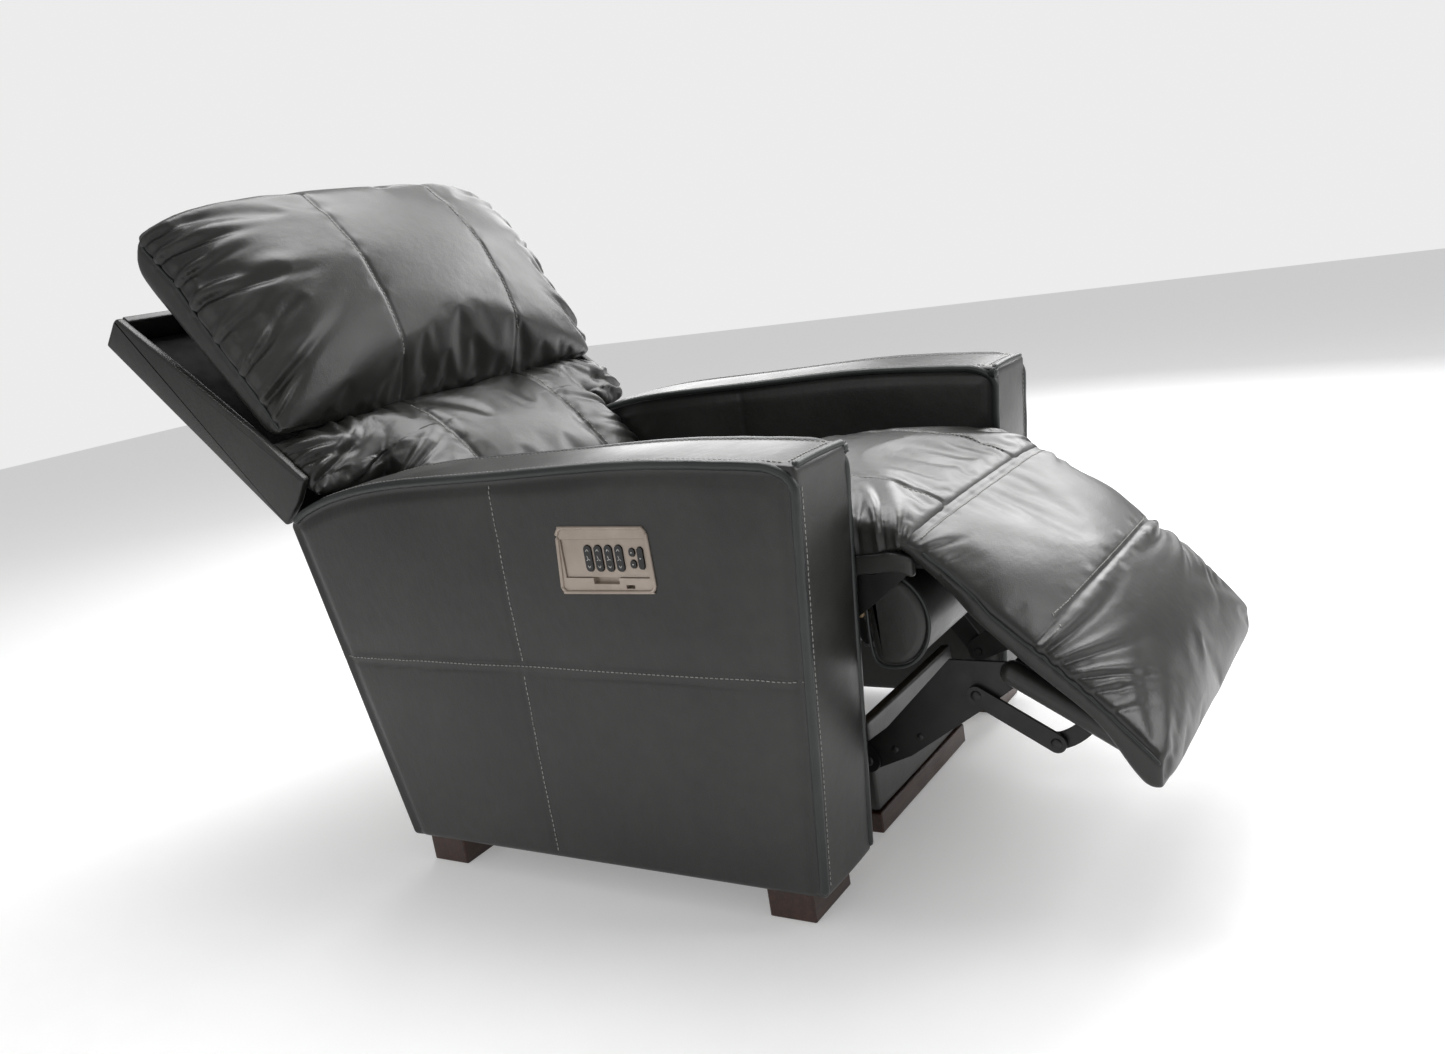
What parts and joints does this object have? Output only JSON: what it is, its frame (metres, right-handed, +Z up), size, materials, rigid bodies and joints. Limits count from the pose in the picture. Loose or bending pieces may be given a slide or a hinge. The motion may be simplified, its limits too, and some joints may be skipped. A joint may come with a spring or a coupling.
{
  "type": "power recliner armchair",
  "caption": "Leather power recliner armchair with track arms, reclining back, tilting headrest, lifting footrest and a side control panel.",
  "frame": {"origin": "on the floor under the middle of the open chair", "axes": "+Z up, -Y the way the sitter faces, +X to the sitter's left"},
  "size_m": [0.84, 1.6154, 1.0582],
  "materials": {
    "leather": "charcoal grey top-grain leather, semi-gloss, grey contrast stitching",
    "black_steel": "black painted steel plate",
    "zinc_steel": "bright zinc-plated steel",
    "timber": "red-brown stained hardwood, satin",
    "board": "raw plywood",
    "satin_panel": "champagne satin metallic plastic",
    "black_plastic": "black moulded plastic"
  },
  "bodies": {
    "base": {"right_arm_outer_panel": "leather", "right_arm_inner_panel": "leather", "right_arm_top_pad": "leather", "right_arm_front_panel": "leather", "right_arm_rear_panel": "leather", "left_arm_outer_panel": "leather", "left_arm_inner_panel": "leather", "left_arm_top_pad": "leather", "left_arm_front_panel": "leather", "left_arm_rear_panel": "leather", "right_front_foot": "timber", "right_rear_foot": "timber", "left_front_foot": "timber", "left_rear_foot": "timber", "front_board": "leather", "front_rail": "timber", "rear_board": "board", "base_runner": "black_steel", "right_slide_rail": "zinc_steel", "left_slide_rail": "zinc_steel", "recline_motor": "black_plastic", "power_inlet": "black_plastic", "dock_bezel": "satin_panel"},
    "seat": {"right_side_plate": "black_steel", "left_side_plate": "black_steel", "seat_deck": "board", "seat_front_roll": "leather", "seat_cushion": "leather", "recline_rod": "zinc_steel", "footrest_motor": "black_plastic"},
    "backrest": {"back_panel": "leather", "right_back_wing": "leather", "left_back_wing": "leather", "back_top_rail": "leather", "right_back_hinge": "black_steel", "left_back_hinge": "black_steel", "lumbar_cushion": "leather", "headrest_bracket": "black_steel"},
    "headrest": {"headrest_plate": "board", "head_cushion": "leather"},
    "lumbar": {"lumbar_plate": "black_steel"},
    "footrest": {"footrest_board": "black_steel", "flap_board": "black_steel", "footrest_pad": "leather"},
    "swing_frame": {"swing_frame": "black_steel"},
    "lift_links": {"right_lift_link": "black_steel", "left_lift_link": "black_steel"},
    "toggle_links": {"right_toggle_link": "black_steel", "left_toggle_link": "black_steel"},
    "curved_links": {"right_curved_link": "black_steel", "left_curved_link": "black_steel"},
    "actuator_rod": {"actuator_rod": "zinc_steel"},
    "handset": {"handset": "satin_panel"},
    "rocker_1": {"rocker_1": "black_plastic"},
    "rocker_2": {"rocker_2": "black_plastic"},
    "rocker_3": {"rocker_3": "black_plastic"},
    "rocker_4": {"rocker_4": "black_plastic"},
    "memory_button_1": {"memory_button_1": "black_plastic"},
    "memory_button_2": {"memory_button_2": "black_plastic"},
    "home_button": {"home_button": "black_plastic"}
  },
  "joints": [
    {"name": "seat_slide", "type": "slide", "parent": "base", "child": "seat", "axis": [0, 0.9829, -0.184], "range_m": [0, 0.0814]},
    {"name": "back_recline", "type": "hinge", "parent": "seat", "child": "backrest", "pos_m": [0, 0.27866, 0.46], "axis": [1, 0, 0], "range_deg": [0, 34]},
    {"name": "headrest_tilt", "type": "hinge", "parent": "backrest", "child": "headrest", "pos_m": [0, 0.48291, 0.70557], "axis": [1, 0, 0], "range_deg": [-10, 10]},
    {"name": "lumbar_push", "type": "slide", "parent": "backrest", "child": "lumbar", "axis": [0, -0.6794, 0.7337], "range_m": [0, 0.018]},
    {"name": "footrest_swing", "type": "hinge", "parent": "seat", "child": "footrest", "pos_m": [0, -0.49034, 0.445], "axis": [1, 0, 0], "range_deg": [0, 46.4]},
    {"name": "swing_frame_turn", "type": "hinge", "parent": "seat", "child": "swing_frame", "pos_m": [0, -0.27534, 0.308], "axis": [1, 0, 0], "range_deg": [0, 46.5]},
    {"name": "lift_link_turn", "type": "hinge", "parent": "swing_frame", "child": "lift_links", "pos_m": [0, -0.38534, 0.15], "axis": [1, 0, 0], "range_deg": [-46.5, 0]},
    {"name": "toggle_turn", "type": "hinge", "parent": "lift_links", "child": "toggle_links", "pos_m": [0, -0.55534, 0.257], "axis": [1, 0, 0], "range_deg": [0, 46.5]},
    {"name": "curved_link_turn", "type": "hinge", "parent": "toggle_links", "child": "curved_links", "pos_m": [0, -0.65634, 0.198], "axis": [1, 0, 0], "range_deg": [-46.5, 0]},
    {"name": "actuator_slide", "type": "slide", "parent": "seat", "child": "actuator_rod", "axis": [0, 1, 0], "range_m": [0, 0.0525]},
    {"name": "handset_lift", "type": "slide", "parent": "base", "child": "handset", "axis": [-1, 0, 0], "range_m": [0, 0.014]},
    {"name": "rocker_1_tilt", "type": "hinge", "parent": "handset", "child": "rocker_1", "pos_m": [-0.4135, -0.11634, 0.503], "axis": [0, 1, 0], "range_deg": [-3, 3], "stiffness_Nm_per_rad": 0.6},
    {"name": "rocker_2_tilt", "type": "hinge", "parent": "handset", "child": "rocker_2", "pos_m": [-0.4135, -0.13334, 0.503], "axis": [0, 1, 0], "range_deg": [-3, 3], "stiffness_Nm_per_rad": 0.6},
    {"name": "rocker_3_tilt", "type": "hinge", "parent": "handset", "child": "rocker_3", "pos_m": [-0.4135, -0.15034, 0.503], "axis": [0, 1, 0], "range_deg": [-3, 3], "stiffness_Nm_per_rad": 0.6},
    {"name": "rocker_4_tilt", "type": "hinge", "parent": "handset", "child": "rocker_4", "pos_m": [-0.4135, -0.16734, 0.503], "axis": [0, 1, 0], "range_deg": [-3, 3], "stiffness_Nm_per_rad": 0.6},
    {"name": "memory_button_1_press", "type": "slide", "parent": "handset", "child": "memory_button_1", "axis": [1, 0, 0], "range_m": [0, 0.001], "stiffness_N_per_m": 400},
    {"name": "memory_button_2_press", "type": "slide", "parent": "handset", "child": "memory_button_2", "axis": [1, 0, 0], "range_m": [0, 0.001], "stiffness_N_per_m": 400},
    {"name": "home_button_press", "type": "slide", "parent": "handset", "child": "home_button", "axis": [1, 0, 0], "range_m": [0, 0.001], "stiffness_N_per_m": 400}
  ],
  "couplings": [
    {"joint": "back_recline", "follows": "seat_slide", "rad_per_m": 7.2686},
    {"joint": "swing_frame_turn", "follows": "footrest_swing", "ratio": 1},
    {"joint": "lift_link_turn", "follows": "footrest_swing", "ratio": -1},
    {"joint": "toggle_turn", "follows": "footrest_swing", "ratio": 1},
    {"joint": "curved_link_turn", "follows": "footrest_swing", "ratio": -1},
    {"joint": "actuator_slide", "follows": "footrest_swing", "m_per_rad": 0.058374}
  ]
}
